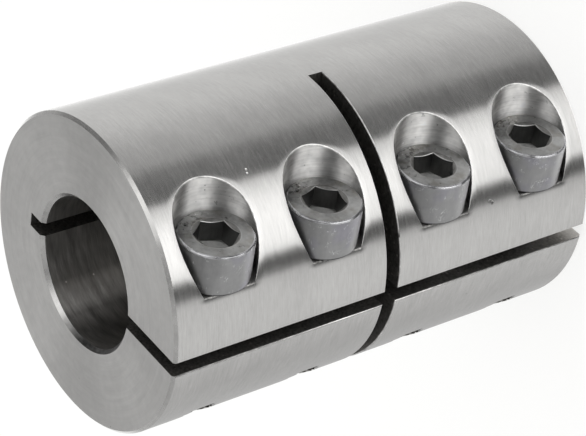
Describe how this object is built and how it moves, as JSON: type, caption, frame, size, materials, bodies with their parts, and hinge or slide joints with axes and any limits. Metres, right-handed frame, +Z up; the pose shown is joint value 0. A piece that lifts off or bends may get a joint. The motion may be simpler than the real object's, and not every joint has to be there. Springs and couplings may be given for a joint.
{
  "type": "rigid shaft coupling",
  "caption": "Solid one-piece steel sleeve that clamps two shaft ends in line: slit lengthwise, sawn across the middle, closed by socket head cap screws in counterbores.",
  "frame": {"origin": "centre of the end face that the coupling stands on, on the axis of the bore", "axes": "+Z up along the axis of the bore, the clamp slit opens towards -Y, the screw heads face +X"},
  "size_m": [0.042, 0.042, 0.066],
  "materials": {
    "turned_steel": "bright turned steel, fine turning marks round the outside and on the end faces",
    "screw_steel": "duller grey rolled and headed steel"
  },
  "bodies": {
    "sleeve": {"coupling_body": "turned_steel"},
    "screw_1": {"clamp_screw_1": "screw_steel"},
    "screw_2": {"clamp_screw_2": "screw_steel"},
    "screw_3": {"clamp_screw_3": "screw_steel"},
    "screw_4": {"clamp_screw_4": "screw_steel"}
  },
  "joints": [
    {"name": "screw_1_turn", "type": "hinge", "parent": "sleeve", "child": "screw_1", "pos_m": [0.0083, -0.0151, 0.05785], "axis": [1, 0, 0], "range_deg": [0, 2412]},
    {"name": "screw_2_turn", "type": "hinge", "parent": "sleeve", "child": "screw_2", "pos_m": [0.0083, -0.0151, 0.04165], "axis": [1, 0, 0], "range_deg": [0, 2412]},
    {"name": "screw_3_turn", "type": "hinge", "parent": "sleeve", "child": "screw_3", "pos_m": [0.0083, -0.0151, 0.02435], "axis": [1, 0, 0], "range_deg": [0, 2412]},
    {"name": "screw_4_turn", "type": "hinge", "parent": "sleeve", "child": "screw_4", "pos_m": [0.0083, -0.0151, 0.00815], "axis": [1, 0, 0], "range_deg": [0, 2412]}
  ]
}
